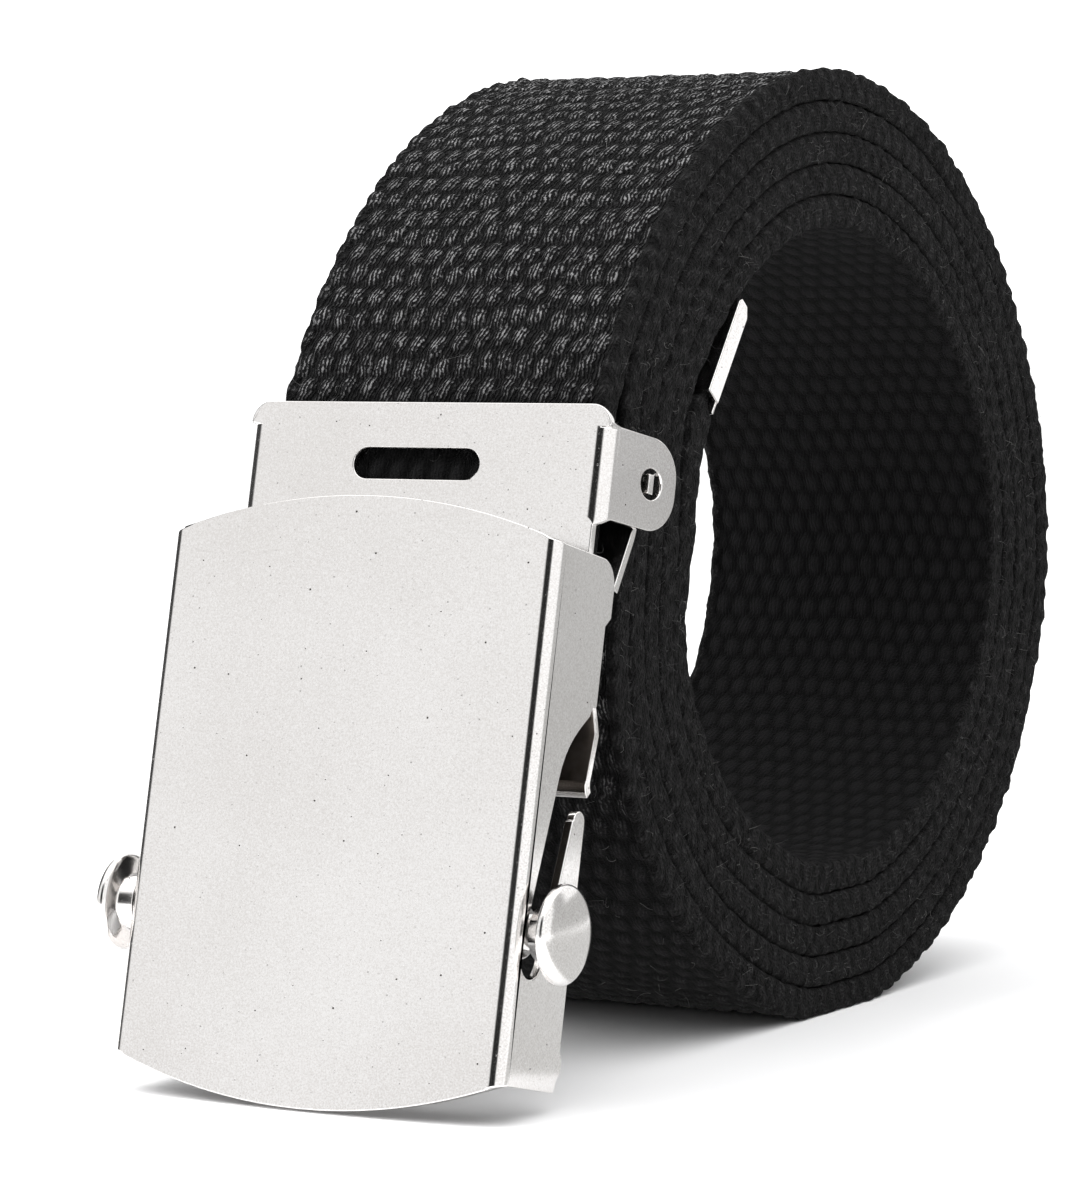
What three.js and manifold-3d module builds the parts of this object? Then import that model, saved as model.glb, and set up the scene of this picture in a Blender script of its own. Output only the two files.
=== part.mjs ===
// Canvas web belt, rolled up and standing on its edge, with a closed-face roller buckle.
// Millimetres, +Z up. X runs across the web, the buckle faces -Y, and the floor is z = 0.
// The origin is on the floor, under the middle of the flat where the roll rests.

import * as THREE from 'three';
import { mergeVertices } from 'three/addons/utils/BufferGeometryUtils.js';
import Module from 'manifold-3d';

// Clearances and sheet
const GAP = 0.3;                 // between neighbouring pieces
const SHEET = 0.8;               // thickness of the plated steel sheet
const PAST = 1;                  // how far a cutting shape runs past what it cuts

// Web
const WEB_WIDTH = 32;
const WEB_THICKNESS = 2.4;
const WEB_AIR = 0.5;             // air between two turns of the roll
const WEB_AIR_PRESSED = 0.32;    // the same behind the buckle, where the turns are pressed together
const WEB_TURNS = 5;             // whole turns of the roll

// Roll
const ROLL_RADIUS = 46;
const ROLL_HUB_HEIGHT = 43.5;    // height of the roll's middle above the floor
const PRESS_DEPTH = 1.7;         // how far the clamp pushes the later turns inwards
const PRESS_SPREAD = 12;         // degrees over which that dent fades out
const SLACK_SPREAD = 28;         // degrees over which the turns come together behind the buckle
const DENT_FROM = 300;           // degrees along the web from where the clamp's dent is felt
const JOIN_AT = 36;              // degrees above the front where the web from the clamp meets the roll
const ANGLE_STEP = 5;            // degrees between two points of the roll
const BEND_STEPS = 8;            // points in the bend from the clamp to the roll
const CURVE_STEPS = 8;           // points in a rounded corner
const ROUND_SEGMENTS = 28;       // sides of the round pieces

// Tip
const TIP_LENGTH = 10.4;
const TIP_WALL = 0.45;
const TIP_BEVEL = 0.9;
const TIP_START = 25;            // degrees past the front where the tip's mouth is
const TONGUE_THICKNESS = 1.5;    // web squeezed inside the tip
const TONGUE_INSET = 0.5;        // web narrowed inside the tip, on each side
const TIP_SET_IN = 0.55;         // air between the tip and the turn outside it, beyond the usual
const TIP_EASE = 35;             // degrees over which the web moves inwards before the tip

// Cover
const TILT = THREE.MathUtils.degToRad(12.75);
const COVER_SIDE_ROOM = 3.0;     // web's edge to the cover's side
const COVER_SIDE = 44.5;         // length of the straight sides
const COVER_CROWN = 3.5;         // rise of the curved top and bottom edges
const COVER_BEND = 0.85;         // outer radius of the bend into the side flanges
const COVER_BEND_INSIDE = 0.15;  // the same bend on its inside
const FLANGE_DEPTH = 9.35;
const FLANGE_EAR_DEPTH = 10.2;   // deeper top corner of the flange
const FLANGE_EAR_HEIGHT = 4.8;
const FLANGE_CUT_TOP = 13.0;     // distance from the flange's top down to the scooped cut
const BUMP_OUT = 0.45;           // small bump low on the flange's rear edge
const BUMP_LENGTH = 2.2;
const BUMP_RISE = 1.2;           // flange's bottom up to the bump

// Curve of the scooped cut in the flange, from the slot's front edge to the flange's rear edge.
// back is a share of the cut's depth and up a share of its height.
const SCOOP_CURVE = [
  { back: 0.10, up: 0.500 },
  { back: 0.35, up: 0.675 },
  { back: 0.80, up: 0.942 },
  { back: 1.00, up: 1.087 },
];

// Roller and its slanted slot
const ROLLER_DIAMETER = 4.4;
const NECK_DIAMETER = 3.0;
const SLOT_SLANT = THREE.MathUtils.degToRad(12.5);
const SLOT_END_HEIGHT = 10.6;    // slot's lower end centre, above the flange's bottom
const SLOT_OPEN_LENGTH = 13.4;   // from there up to the open end
const ROLLER_LIFT = 2.1;         // the roller stops this far above the slot's lower end
const BUTTON_DIAMETER = 8.3;
const BUTTON_DOME = 1.2;
const BUTTON_RIM = 0.55;
const BUTTON_STANDOFF = 1.9;     // button's underside to the flange's outer face
const COLLAR_DIAMETER = 4.6;

// Back plate
const PLATE_TOP = 9.75;          // plate top above the cover's crown
const PLATE_DEPTH = 8.5;         // cover's front face to plate's front face
const PLATE_LENGTH = 33;
const PLATE_CORNER = 1.9;
const PLATE_LIP = 1.3;           // radius of the lower lip, which curls backwards
const PLATE_WING = 1.5;          // how far the wings reach out past the upper plate's sides
const PLATE_WING_DROP = 0.55;    // wing's upper end below the top of the flange's cut
const PLATE_WING_EASE = 1.2;     // height over which the wing's upper end slopes out
const LIP_CURL = 55;             // degrees through which the lower lip curls
const LIP_STEPS = 5;
const KEY_SLOT_LENGTH = 12.5;
const KEY_SLOT_HEIGHT = 2.7;
const KEY_SLOT_DROP = 5.4;       // slot's middle below the plate's top edge
const KEY_SLOT_SIDE = 0.7;       // slot's middle to the left of the plate's middle

// Ears on the back plate
const EAR_LENGTH = 8.9;
const EAR_HEIGHT = 8.0;
const EAR_DROP = 1.7;            // ear's upper edge below the plate's top edge
const EAR_SPLAY = THREE.MathUtils.degToRad(12);
const EAR_ROUND = 3.4;
const PIVOT_REACH = 5.45;        // fold to pivot
const PIVOT_DROP = 4.0;          // ear's upper edge to pivot
const PIVOT_HOLE = 2.7;

// Clamp flap
const FLAP_ABOVE_PIVOT = 1.7;
const FLAP_KNEE_DROP = 3.6;      // pivot down to the knee
const FLAP_KNEE_OUT = 0.5;       // knee behind the pivot
const FLAP_FOOT_DROP = 9.6;      // pivot down to the tips of the teeth
const FLAP_KNEE_ROUND = 1.6;
const FLAP_TOP_IN = 0.3;         // flap's upper edge in front of the pivot
const FLAP_AIR = 0.4;            // knee to the turn of web behind it
const FLAP_PIN_THICKNESS = 0.9;
const FLAP_PIN_HEIGHT = 1.7;
const TOOTH_PITCH = 2.4;
const TOOTH_HEIGHT = 1.1;

// Outer outline of the first turn, every 20 degrees from just above the buckle, over the top and round.
// The radius is a share of ROLL_RADIUS.
const ROLL_STEP = 20;
const ROLL_OUTLINE = [
  { at: 20, radius: 1.074 },
  { at: 40, radius: 1.033 },
  { at: 60, radius: 1.000 },
  { at: 80, radius: 0.980 },
  { at: 100, radius: 0.967 },
  { at: 120, radius: 0.970 },
  { at: 140, radius: 0.993 },
  { at: 160, radius: 1.033 },
  { at: 180, radius: 1.067 },
  { at: 200, radius: 1.048 },
  { at: 220, radius: 1.009 },
  { at: 240, radius: 0.972 },
  { at: 260, radius: 0.955 },
  { at: 280, radius: 0.955 },
  { at: 300, radius: 0.963 },
  { at: 320, radius: 0.998 },
  { at: 340, radius: 1.026 },
  { at: 360, radius: 1.020 },
];

const METAL = { color: 0xd9d7d4, roughness: 0.22, metalness: 1.0 };
const CLOTH = { color: 0x17171a, roughness: 0.95, metalness: 0.0 };

// Derived sizes of the buckle. u runs across, v up the plate and w back from the cover's front face.
const COVER_WIDTH = WEB_WIDTH + 2 * COVER_SIDE_ROOM;
const COVER_HALF = COVER_WIDTH / 2;
const FLANGE_BOTTOM = COVER_CROWN;
const FLANGE_TOP = FLANGE_BOTTOM + COVER_SIDE;
const COVER_TOP = FLANGE_TOP + COVER_CROWN;
const PLATE_HALF = COVER_HALF - SHEET - GAP;
const PLATE_TOP_V = COVER_TOP + PLATE_TOP;
const PLATE_BOTTOM_V = PLATE_TOP_V - PLATE_LENGTH;
const PLATE_BACK = PLATE_DEPTH + SHEET;
const WEB_FRONT = PLATE_BACK + GAP;
const WEB_BACK = WEB_FRONT + WEB_THICKNESS;
const EAR_TOP_V = PLATE_TOP_V - EAR_DROP;
const EAR_FOLD_U = PLATE_HALF - SHEET;
const PIVOT_V = EAR_TOP_V - PIVOT_DROP;
const PIVOT_W = PLATE_BACK + PIVOT_REACH * Math.cos(EAR_SPLAY);
const KNEE = { v: PIVOT_V - FLAP_KNEE_DROP, w: PIVOT_W + FLAP_KNEE_OUT };
const FOOT = { v: PIVOT_V - FLAP_FOOT_DROP, w: WEB_BACK + GAP + SHEET / 2 };
const FLAP_HALF = EAR_FOLD_U + (PIVOT_REACH - SHEET) * Math.sin(EAR_SPLAY) - GAP;
const WEB_END_V = FOOT.v - TOOTH_HEIGHT - WEB_THICKNESS / 2;
const SEAT_W = SHEET + GAP + ROLLER_DIAMETER / 2;
const SLOT_END = { v: FLANGE_BOTTOM + SLOT_END_HEIGHT, w: SEAT_W - ROLLER_LIFT * Math.sin(SLOT_SLANT) };
const TIP_THICKNESS = TONGUE_THICKNESS + 2 * GAP + 2 * TIP_WALL;
const TIP_INWARDS = (TIP_THICKNESS - WEB_THICKNESS) / 2 + TIP_SET_IN;

const wasm = await Module();
wasm.setup();

function toSolid(geometry) {
  const bare = geometry.index ? geometry.toNonIndexed() : geometry.clone();
  bare.deleteAttribute('normal');
  bare.deleteAttribute('uv');
  const merged = mergeVertices(bare, 1e-4);
  const mesh = new wasm.Mesh({
    numProp: 3,
    vertProperties: new Float32Array(merged.attributes.position.array),
    triVerts: new Uint32Array(merged.index.array),
  });
  mesh.merge();
  return new wasm.Manifold(mesh);
}

function toGeometry(solid) {
  const mesh = solid.getMesh();
  const geometry = new THREE.BufferGeometry();
  geometry.setAttribute('position', new THREE.BufferAttribute(new Float32Array(mesh.vertProperties), 3));
  geometry.setIndex(new THREE.BufferAttribute(new Uint32Array(mesh.triVerts), 1));
  geometry.computeVertexNormals();
  return geometry;
}

// A prism of a (depth, height) outline that runs across the width from x = start.
function acrossWidth(shape, width, start = -width / 2) {
  const options = { depth: width, bevelEnabled: false, curveSegments: CURVE_STEPS };
  const geometry = new THREE.ExtrudeGeometry(shape, options);
  const turn = new THREE.Matrix4().makeBasis(
    new THREE.Vector3(0, 1, 0),
    new THREE.Vector3(0, 0, 1),
    new THREE.Vector3(1, 0, 0),
  );
  geometry.applyMatrix4(turn);
  geometry.translate(start, 0, 0);
  return toSolid(geometry);
}

// A prism of an (across, height) outline that runs back from y = front to y = back.
function frontToBack(shape, front, back, curveSegments = CURVE_STEPS) {
  const options = { depth: back - front, bevelEnabled: false, curveSegments };
  const geometry = new THREE.ExtrudeGeometry(shape, options);
  geometry.rotateX(Math.PI / 2);
  geometry.translate(0, back, 0);
  return toSolid(geometry);
}

// Outline of a strip of even thickness that follows a line of points.
function stripOutline(line, thickness) {
  const front = [];
  const back = [];
  line.forEach((point, i) => {
    const before = line[Math.max(i - 1, 0)];
    const after = line[Math.min(i + 1, line.length - 1)];
    const along = new THREE.Vector2().subVectors(after, before).normalize();
    const side = new THREE.Vector2(-along.y, along.x).multiplyScalar(thickness / 2);
    front.push(point.clone().add(side));
    back.unshift(point.clone().sub(side));
  });
  return new THREE.Shape([...front, ...back]);
}

function bar(width, depth, height, x, y, z) {
  const geometry = new THREE.BoxGeometry(width, depth, height);
  geometry.translate(x, y, z);
  return toSolid(geometry);
}

function cylinderAcross(radius, length, y, z) {
  const geometry = new THREE.CylinderGeometry(radius, radius, length, ROUND_SEGMENTS);
  geometry.rotateZ(Math.PI / 2);
  geometry.translate(0, y, z);
  return toSolid(geometry);
}

// Roll of web

const outlineCurve = new THREE.SplineCurve(
  ROLL_OUTLINE.map((row) => new THREE.Vector2(row.at, row.radius * ROLL_RADIUS)),
);

function bump(degrees, middle, spread) {
  const off = ((degrees - middle + 540) % 360) - 180;
  return Math.exp(-((off / spread) ** 2));
}

// Outer radius of the roll at an angle from 0 at the front, over the top and round to 380.
// Past the last row it closes towards the second turn, one pitch inside the first.
function hubRadiusAt(degrees) {
  const first = ROLL_OUTLINE[0].at;
  const rows = ROLL_OUTLINE.length;
  const lastRow = first + ROLL_STEP * (rows - 1);
  if (degrees > lastRow) {
    const end = ROLL_OUTLINE[0].radius * ROLL_RADIUS - pitchAt(first);
    const start = ROLL_OUTLINE[rows - 1].radius * ROLL_RADIUS;
    return start + (end - start) * ((degrees - lastRow) / ROLL_STEP);
  }
  return outlineCurve.getPoint((degrees - first) / (lastRow - first)).y;
}

function pitchAt(degrees) {
  const pressed = bump(degrees, 0, SLACK_SPREAD);
  return WEB_THICKNESS + WEB_AIR + (WEB_AIR_PRESSED - WEB_AIR) * pressed;
}

// Where the buckle stands: as far back as the flap's knee and upper edge let it, close to the dent
// that they press into the second turn.
const BUCKLE_FOOT_Z = SHEET * Math.sin(TILT);
const FLAP_TOP = { v: PIVOT_V + FLAP_ABOVE_PIVOT, w: PIVOT_W - FLAP_TOP_IN };
const FLAP_BACK = SHEET / 2 + FLAP_AIR;

function rollAngleBehind(point) {
  const height = BUCKLE_FOOT_Z + point.v * Math.cos(TILT) - (point.w + FLAP_BACK) * Math.sin(TILT);
  return THREE.MathUtils.radToDeg(Math.asin((height - ROLL_HUB_HEIGHT) / ROLL_RADIUS));
}

const PRESS_AT = rollAngleBehind(KNEE);

function footInFrontOf(point) {
  const behind = rollAngleBehind(point);
  const radius = hubRadiusAt(360 + behind) - PRESS_DEPTH * bump(behind, PRESS_AT, PRESS_SPREAD);
  return -radius * Math.cos(THREE.MathUtils.degToRad(behind))
    - point.v * Math.sin(TILT) - (point.w + FLAP_BACK) * Math.cos(TILT);
}

const BUCKLE_FOOT_Y = Math.min(footInFrontOf(KNEE), footInFrontOf(FLAP_TOP));

function buckleToFloor(v, w) {
  return new THREE.Vector2(
    BUCKLE_FOOT_Y + v * Math.sin(TILT) + w * Math.cos(TILT),
    BUCKLE_FOOT_Z + v * Math.cos(TILT) - w * Math.sin(TILT),
  );
}

// Middle line of the web at a total angle counted from the front over the top, several turns long.
function rollPoint(total, inwards = 0) {
  const first = ROLL_OUTLINE[0].at;
  const turn = Math.floor((total - first) / 360);
  const degrees = total - turn * 360;
  const dent = total > DENT_FROM ? PRESS_DEPTH * bump(degrees, PRESS_AT, PRESS_SPREAD) : 0;
  const radius = hubRadiusAt(degrees) - turn * pitchAt(degrees) - dent - WEB_THICKNESS / 2 - inwards;
  const angle = THREE.MathUtils.degToRad(degrees);
  const floor = WEB_THICKNESS / 2 + turn * pitchAt(degrees);
  const height = ROLL_HUB_HEIGHT + radius * Math.sin(angle);
  return new THREE.Vector2(-radius * Math.cos(angle), Math.max(height, floor));
}

// Middle of the tip's mouth, and the direction from there to the tip's closed end.
function tipLine() {
  const mouth = rollPoint(WEB_TURNS * 360 + TIP_START, TIP_INWARDS);
  const reach = THREE.MathUtils.radToDeg(TIP_LENGTH / mouth.distanceTo(new THREE.Vector2(0, ROLL_HUB_HEIGHT)));
  const end = rollPoint(WEB_TURNS * 360 + TIP_START + reach, TIP_INWARDS);
  const along = end.clone().sub(mouth).normalize();
  return { mouth, along };
}

// Middle line of the whole web, from its end in the clamp to the tip's mouth.
function strapLine() {
  const line = [];
  const middle = (WEB_FRONT + WEB_BACK) / 2;
  const leaves = buckleToFloor(PIVOT_V - FLAP_KNEE_DROP / 2, middle);
  line.push(buckleToFloor(WEB_END_V, middle));
  const joins = rollPoint(JOIN_AT);
  const heading = rollPoint(JOIN_AT + 1).sub(joins).normalize();
  const pull = leaves.distanceTo(joins) / 3;
  const up = new THREE.Vector2(Math.sin(TILT), Math.cos(TILT));
  const bend = new THREE.CubicBezierCurve(
    leaves,
    leaves.clone().addScaledVector(up, pull),
    joins.clone().addScaledVector(heading, -pull),
    joins,
  );
  line.push(...bend.getPoints(BEND_STEPS));
  const lastAngle = WEB_TURNS * 360 + TIP_START;
  for (let total = JOIN_AT + ANGLE_STEP; total < lastAngle - ANGLE_STEP; total += ANGLE_STEP) {
    const share = THREE.MathUtils.smoothstep(total, lastAngle - TIP_EASE, lastAngle);
    line.push(rollPoint(total, TIP_INWARDS * share));
  }
  const { mouth, along } = tipLine();
  line.push(mouth.clone().addScaledVector(along, -GAP - WEB_THICKNESS / 2));
  line.push(mouth.clone().addScaledVector(along, -GAP));
  return line;
}

function webStrap() {
  const belt = acrossWidth(stripOutline(strapLine(), WEB_THICKNESS), WEB_WIDTH);
  const { mouth, along } = tipLine();
  const root = mouth.clone().addScaledVector(along, -2 * GAP - WEB_THICKNESS / 4);
  const end = mouth.clone().addScaledVector(along, TIP_LENGTH - TIP_WALL - GAP);
  const tongueWidth = WEB_WIDTH - 2 * TONGUE_INSET;
  const tongue = acrossWidth(stripOutline([root, end], TONGUE_THICKNESS), tongueWidth);
  return toGeometry(belt.add(tongue));
}

// A folded sheet cap, open at its mouth. Its own y is the thickness and its z runs to the closed end.
function tipCap() {
  const half = TIP_THICKNESS / 2;
  const outline = new THREE.Shape([
    new THREE.Vector2(-half, 0),
    new THREE.Vector2(half, 0),
    new THREE.Vector2(half, TIP_LENGTH - TIP_BEVEL),
    new THREE.Vector2(half - TIP_BEVEL, TIP_LENGTH),
    new THREE.Vector2(-half + TIP_BEVEL / 2, TIP_LENGTH),
    new THREE.Vector2(-half, TIP_LENGTH - TIP_BEVEL / 2),
  ]);
  const inside = WEB_WIDTH - 2 * TONGUE_INSET + 2 * GAP;
  const outer = acrossWidth(outline, inside + 2 * TIP_WALL);
  const depth = TIP_LENGTH - TIP_WALL;
  const pocket = bar(inside, TONGUE_THICKNESS + 2 * GAP, 2 * depth, 0, 0, 0);
  return toGeometry(outer.subtract(pocket));
}

// Buckle pieces, drawn upright: x across, y back from the cover's front face, z up the plate

function coverFace() {
  const half = COVER_HALF;
  const radius = (half * half + COVER_CROWN * COVER_CROWN) / (2 * COVER_CROWN);
  const spread = Math.asin(half / radius);
  const shape = new THREE.Shape();
  shape.absarc(0, radius, radius, -Math.PI / 2 - spread, -Math.PI / 2 + spread, false);
  shape.absarc(0, COVER_TOP - radius, radius, Math.PI / 2 - spread, Math.PI / 2 + spread, false);
  shape.closePath();
  return shape;
}

function slotPoint(along, across) {
  return new THREE.Vector2(
    SLOT_END.w + along * Math.sin(SLOT_SLANT) + across * Math.cos(SLOT_SLANT),
    SLOT_END.v + along * Math.cos(SLOT_SLANT) - across * Math.sin(SLOT_SLANT),
  );
}

// Side view of the flanges, with the slanted slot that opens into the scooped cut above it.
function flangeSide() {
  const half = NECK_DIAMETER / 2 + GAP;
  const cutTop = FLANGE_TOP - FLANGE_CUT_TOP;
  const earFoot = FLANGE_TOP - FLANGE_EAR_HEIGHT;
  const bumpFoot = FLANGE_BOTTOM + BUMP_RISE;
  const corner = (FLANGE_EAR_DEPTH - SHEET) / 4;
  const front = slotPoint(SLOT_OPEN_LENGTH, -half);
  const fingerRound = (FLANGE_DEPTH - slotPoint(SLOT_OPEN_LENGTH, half).x) / 2;
  const fingerTop = slotPoint(SLOT_OPEN_LENGTH, half).y - fingerRound;
  const fingerFront = slotPoint(SLOT_OPEN_LENGTH - fingerRound, half).x;
  const shape = new THREE.Shape();
  shape.moveTo(-PAST, -PAST);
  shape.lineTo(COVER_BEND, -PAST);
  shape.lineTo(COVER_BEND, FLANGE_BOTTOM);
  shape.lineTo(FLANGE_DEPTH - BUMP_OUT, FLANGE_BOTTOM);
  shape.lineTo(FLANGE_DEPTH, bumpFoot);
  shape.lineTo(FLANGE_DEPTH + BUMP_OUT, bumpFoot + BUMP_OUT);
  shape.lineTo(FLANGE_DEPTH + BUMP_OUT, bumpFoot + BUMP_LENGTH - BUMP_OUT);
  shape.lineTo(FLANGE_DEPTH, bumpFoot + BUMP_LENGTH);
  shape.lineTo(FLANGE_DEPTH, fingerTop);
  shape.absarc(FLANGE_DEPTH - fingerRound, fingerTop, fingerRound, 0, Math.PI, false);
  shape.lineTo(fingerFront, fingerTop);
  const low = slotPoint(0, half);
  shape.lineTo(low.x, low.y);
  shape.absarc(SLOT_END.w, SLOT_END.v, half, -SLOT_SLANT, -SLOT_SLANT - Math.PI, true);
  shape.lineTo(front.x, front.y);
  const scoop = FLANGE_DEPTH - front.x;
  const rise = cutTop - front.y;
  const [leave, arrive, end, edge] = SCOOP_CURVE.map((row) => (
    new THREE.Vector2(front.x + scoop * row.back, front.y + rise * row.up)
  ));
  shape.bezierCurveTo(leave.x, leave.y, arrive.x, arrive.y, end.x, end.y);
  shape.lineTo(edge.x, edge.y);
  shape.lineTo(FLANGE_DEPTH, earFoot - SHEET);
  shape.lineTo(FLANGE_EAR_DEPTH, earFoot);
  shape.lineTo(FLANGE_EAR_DEPTH, FLANGE_TOP - corner);
  shape.absarc(FLANGE_EAR_DEPTH - corner, FLANGE_TOP - corner, corner, 0, Math.PI / 2, false);
  shape.lineTo(COVER_BEND, FLANGE_TOP);
  shape.lineTo(COVER_BEND, COVER_TOP + PAST);
  shape.lineTo(-PAST, COVER_TOP + PAST);
  shape.closePath();
  return shape;
}

// Cross-section of the cover: its face and the two flanges, seen from above.
function coverChannel() {
  const inner = COVER_BEND_INSIDE;
  const far = FLANGE_EAR_DEPTH + PAST;
  const half = COVER_HALF;
  const shape = new THREE.Shape();
  shape.moveTo(-half, far);
  shape.lineTo(-half, COVER_BEND);
  shape.absarc(-half + COVER_BEND, COVER_BEND, COVER_BEND, Math.PI, Math.PI * 1.5, false);
  shape.lineTo(half - COVER_BEND, 0);
  shape.absarc(half - COVER_BEND, COVER_BEND, COVER_BEND, -Math.PI / 2, 0, false);
  shape.lineTo(half, far);
  shape.lineTo(half - SHEET, far);
  shape.lineTo(half - SHEET, SHEET + inner);
  shape.lineTo(half - SHEET - inner, SHEET);
  shape.lineTo(-half + SHEET + inner, SHEET);
  shape.lineTo(-half + SHEET, SHEET + inner);
  shape.lineTo(-half + SHEET, far);
  shape.closePath();
  return shape;
}

function buckleCover() {
  const options = { depth: COVER_TOP + 2 * PAST, bevelEnabled: false, curveSegments: CURVE_STEPS };
  const channel = new THREE.ExtrudeGeometry(coverChannel(), options);
  channel.translate(0, 0, -PAST);
  const outline = frontToBack(coverFace(), -PAST, FLANGE_EAR_DEPTH + PAST, 3 * CURVE_STEPS);
  const sides = acrossWidth(flangeSide(), COVER_WIDTH + 2 * PAST);
  return toGeometry(toSolid(channel).intersect(outline).intersect(sides));
}

// Front view of the plate: wings at its lower sides, and the long rounded slot near its top.
function plateFront() {
  const wide = PLATE_HALF + PLATE_WING;
  const wingTop = FLANGE_TOP - FLANGE_CUT_TOP - PLATE_WING_DROP;
  const wingEdge = wingTop - PLATE_WING_EASE;
  const wingEase = wingTop - PLATE_WING_EASE / 2;
  const low = PLATE_BOTTOM_V - 3 * PAST;
  const top = PLATE_TOP_V;
  const round = PLATE_CORNER;
  const shape = new THREE.Shape();
  shape.moveTo(-wide + GAP, low);
  shape.lineTo(wide - GAP, low);
  shape.lineTo(wide - GAP, PLATE_BOTTOM_V);
  shape.lineTo(wide, wingEdge);
  shape.bezierCurveTo(wide, wingEase, PLATE_HALF + PLATE_WING / 2, wingEase, PLATE_HALF, wingTop);
  shape.lineTo(PLATE_HALF, top - round);
  shape.absarc(PLATE_HALF - round, top - round, round, 0, Math.PI / 2, false);
  shape.lineTo(-PLATE_HALF + round, top);
  shape.absarc(-PLATE_HALF + round, top - round, round, Math.PI / 2, Math.PI, false);
  shape.lineTo(-PLATE_HALF, wingTop);
  shape.bezierCurveTo(-PLATE_HALF - PLATE_WING / 2, wingEase, -wide, wingEase, -wide, wingEdge);
  shape.lineTo(-wide + GAP, PLATE_BOTTOM_V);
  shape.closePath();
  const hole = new THREE.Path();
  const reach = (KEY_SLOT_LENGTH - KEY_SLOT_HEIGHT) / 2;
  const level = top - KEY_SLOT_DROP;
  hole.absarc(reach - KEY_SLOT_SIDE, level, KEY_SLOT_HEIGHT / 2, -Math.PI / 2, Math.PI / 2, false);
  hole.absarc(-reach - KEY_SLOT_SIDE, level, KEY_SLOT_HEIGHT / 2, Math.PI / 2, Math.PI * 1.5, false);
  hole.closePath();
  shape.holes.push(hole);
  return shape;
}

// Side view of the plate: straight down from its top, then curling backwards into the lower lip.
function plateSideLine() {
  const middle = PLATE_DEPTH + SHEET / 2;
  const curl = THREE.MathUtils.degToRad(LIP_CURL);
  const line = [new THREE.Vector2(middle, PLATE_TOP_V + PAST)];
  const centre = new THREE.Vector2(middle + PLATE_LIP, PLATE_BOTTOM_V + PLATE_LIP * Math.sin(curl));
  for (let i = 0; i <= LIP_STEPS; i += 1) {
    const angle = Math.PI + curl * (i / LIP_STEPS);
    line.push(new THREE.Vector2(Math.cos(angle), Math.sin(angle)).multiplyScalar(PLATE_LIP).add(centre));
  }
  return line;
}

function earOutline() {
  const shape = new THREE.Shape();
  const foot = EAR_TOP_V - EAR_HEIGHT;
  shape.moveTo(0, foot);
  shape.lineTo(EAR_LENGTH - EAR_ROUND, foot);
  shape.absarc(EAR_LENGTH - EAR_ROUND, foot + EAR_ROUND, EAR_ROUND, -Math.PI / 2, 0, false);
  shape.lineTo(EAR_LENGTH, EAR_TOP_V - EAR_ROUND);
  shape.absarc(EAR_LENGTH - EAR_ROUND, EAR_TOP_V - EAR_ROUND, EAR_ROUND, 0, Math.PI / 2, false);
  shape.lineTo(0, EAR_TOP_V);
  shape.closePath();
  return shape;
}

// An ear of sheet that stands back from the plate's side, splayed outwards, with its fold.
function ear(side) {
  const splay = THREE.MathUtils.radToDeg(-side * EAR_SPLAY);
  const start = side < 0 ? -SHEET : 0;
  const sheet = acrossWidth(earOutline(), SHEET, start).rotate([0, 0, splay]);
  const fold = new THREE.CylinderGeometry(SHEET, SHEET, EAR_HEIGHT, ROUND_SEGMENTS);
  fold.rotateX(Math.PI / 2);
  fold.translate(0, 0, EAR_TOP_V - EAR_HEIGHT / 2);
  return sheet.add(toSolid(fold)).translate([side * EAR_FOLD_U, PLATE_BACK, 0]);
}

function backPlate() {
  const wide = 2 * (PLATE_HALF + PLATE_WING + PAST);
  const sheet = acrossWidth(stripOutline(plateSideLine(), SHEET), wide);
  const outline = frontToBack(plateFront(), PLATE_DEPTH - PAST, PLATE_BACK + 2 * PLATE_LIP);
  const holes = cylinderAcross(PIVOT_HOLE / 2, COVER_WIDTH * 2, PIVOT_W, PIVOT_V);
  const plate = sheet.intersect(outline).add(ear(1)).add(ear(-1));
  return toGeometry(plate.subtract(holes));
}

// Side view of the flap: from above the pivot down to the knee, then forwards to its toothed foot.
function flapSideLine() {
  const top = new THREE.Vector2(FLAP_TOP.w, FLAP_TOP.v);
  const knee = new THREE.Vector2(KNEE.w, KNEE.v);
  const foot = new THREE.Vector2(FOOT.w, FOOT.v);
  const toTop = top.clone().sub(knee).normalize().multiplyScalar(FLAP_KNEE_ROUND);
  const toFoot = foot.clone().sub(knee).normalize().multiplyScalar(FLAP_KNEE_ROUND);
  const bend = new THREE.QuadraticBezierCurve(knee.clone().add(toTop), knee, knee.clone().add(toFoot));
  return [top, ...bend.getPoints(CURVE_STEPS), foot];
}

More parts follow.
